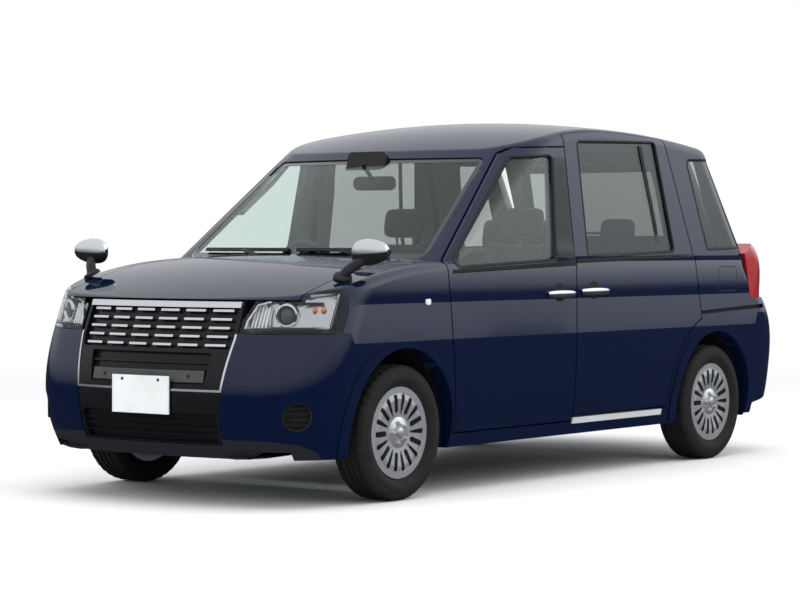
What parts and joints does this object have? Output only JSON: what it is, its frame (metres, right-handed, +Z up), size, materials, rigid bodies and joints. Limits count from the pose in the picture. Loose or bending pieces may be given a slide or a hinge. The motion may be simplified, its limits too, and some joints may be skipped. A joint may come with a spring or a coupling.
{
  "type": "taxi cab",
  "caption": "tall taxi cab with swinging and sliding side doors, fender mirrors, steered front wheels, lifting bonnet and tailgate",
  "frame": {"origin": "on the ground under the middle of the car's box", "axes": "+X forward, +Y to the car's left, +Z up"},
  "size_m": [4.3965, 1.855, 1.7498],
  "materials": {
    "paint": "dark blue clear coat",
    "clear_glass": "clear laminated glass",
    "tinted_glass": "dark privacy glass",
    "black_plastic": "grained moulding",
    "underbody_coat": "matt underbody coat",
    "chrome": "bright plating",
    "plate": "blank white plate",
    "lamp_lens": "clear lens",
    "red_lens": "red lens",
    "engine_metal": "cast alloy",
    "dark_steel": "black painted steel",
    "exhaust_steel": "dull steel",
    "cabin_plastic": "grained dark trim",
    "seat_cover": "dark seat cover",
    "tyre_rubber": "black rubber",
    "wheel_silver": "silver paint"
  },
  "bodies": {
    "body": {"underbody": "underbody_coat", "wheel_housings": "black_plastic", "left_body_side": "paint", "right_body_side": "paint", "roof_panel": "paint", "cowl": "black_plastic", "left_fender": "paint", "right_fender": "paint", "front_bumper": "paint", "rear_bumper": "paint", "grille": "black_plastic", "grille_dashes": "chrome", "chrome_trim": "chrome", "number_plate": "plate", "headlamps": "lamp_lens", "tail_lamps": "red_lens", "fog_lamps": "black_plastic", "arch_flares": "paint", "sill_strips": "chrome", "windscreen": "clear_glass", "quarter_glass": "tinted_glass", "sliding_door": "paint", "sliding_door_glass": "tinted_glass", "sliding_door_handle": "chrome", "engine_block": "engine_metal", "front_suspension": "dark_steel", "rear_axle": "dark_steel", "fuel_tank": "dark_steel", "exhaust": "exhaust_steel", "dashboard": "cabin_plastic", "front_seats": "seat_cover", "rear_seat": "seat_cover", "fender_mirrors": "chrome"},
    "left_front_knuckle": {"left_knuckle": "dark_steel"},
    "right_front_knuckle": {"right_knuckle": "dark_steel"},
    "left_front_wheel_set": {"left_front_wheel": "wheel_silver", "left_front_tyre": "tyre_rubber"},
    "right_front_wheel_set": {"right_front_wheel": "wheel_silver", "right_front_tyre": "tyre_rubber"},
    "left_rear_wheel_set": {"left_rear_wheel": "wheel_silver", "left_rear_tyre": "tyre_rubber"},
    "right_rear_wheel_set": {"right_rear_wheel": "wheel_silver", "right_rear_tyre": "tyre_rubber"},
    "left_front_door_leaf": {"left_front_door": "paint", "left_front_window": "clear_glass", "left_front_handle": "chrome"},
    "right_front_door_leaf": {"right_front_door": "paint", "right_front_window": "clear_glass", "right_front_handle": "chrome"},
    "right_rear_door_leaf": {"right_rear_door": "paint", "right_rear_window": "tinted_glass", "right_rear_handle": "chrome"},
    "tailgate_leaf": {"tailgate": "paint", "tailgate_glass": "tinted_glass"},
    "bonnet_leaf": {"bonnet": "paint"},
    "steering_wheel_set": {"steering_wheel": "cabin_plastic"}
  },
  "joints": [
    {"name": "left_steer", "type": "hinge", "parent": "body", "child": "left_front_knuckle", "pos_m": [1.4, 0.65, 0.301], "axis": [0, 0, 1], "range_deg": [-35, 35]},
    {"name": "left_front_roll", "type": "hinge", "parent": "left_front_knuckle", "child": "left_front_wheel_set", "pos_m": [1.4, 0.742, 0.301], "axis": [0, 1, 0], "continuous": true},
    {"name": "left_rear_roll", "type": "hinge", "parent": "body", "child": "left_rear_wheel_set", "pos_m": [-1.35, 0.742, 0.301], "axis": [0, 1, 0], "continuous": true},
    {"name": "right_steer", "type": "hinge", "parent": "body", "child": "right_front_knuckle", "pos_m": [1.4, -0.65, 0.301], "axis": [0, 0, 1], "range_deg": [-35, 35]},
    {"name": "right_front_roll", "type": "hinge", "parent": "right_front_knuckle", "child": "right_front_wheel_set", "pos_m": [1.4, -0.742, 0.301], "axis": [0, 1, 0], "continuous": true},
    {"name": "right_rear_roll", "type": "hinge", "parent": "body", "child": "right_rear_wheel_set", "pos_m": [-1.35, -0.742, 0.301], "axis": [0, 1, 0], "continuous": true},
    {"name": "left_front_door_swing", "type": "hinge", "parent": "body", "child": "left_front_door_leaf", "pos_m": [1.08, 0.8475, 0.65], "axis": [0, 0, -1], "range_deg": [0, 65]},
    {"name": "right_front_door_swing", "type": "hinge", "parent": "body", "child": "right_front_door_leaf", "pos_m": [1.08, -0.8475, 0.65], "axis": [0, 0, 1], "range_deg": [0, 65]},
    {"name": "right_rear_door_swing", "type": "hinge", "parent": "body", "child": "right_rear_door_leaf", "pos_m": [0.0085, -0.8475, 0.65], "axis": [0, 0, 1], "range_deg": [0, 70]},
    {"name": "tailgate_lift", "type": "hinge", "parent": "body", "child": "tailgate_leaf", "pos_m": [-1.418, 0, 1.678], "axis": [0, 1, 0], "range_deg": [0, 80]},
    {"name": "bonnet_lift", "type": "hinge", "parent": "body", "child": "bonnet_leaf", "pos_m": [1.1, 0, 1.062], "axis": [0, -1, 0], "range_deg": [0, 55]},
    {"name": "steering_turn", "type": "hinge", "parent": "body", "child": "steering_wheel_set", "pos_m": [0.56, -0.37, 0.965], "axis": [-0.9061, 0, 0.423], "range_deg": [-490, 490]}
  ],
  "couplings": [
    {"joint": "right_steer", "follows": "left_steer", "ratio": 1},
    {"joint": "steering_turn", "follows": "left_steer", "ratio": 14}
  ]
}
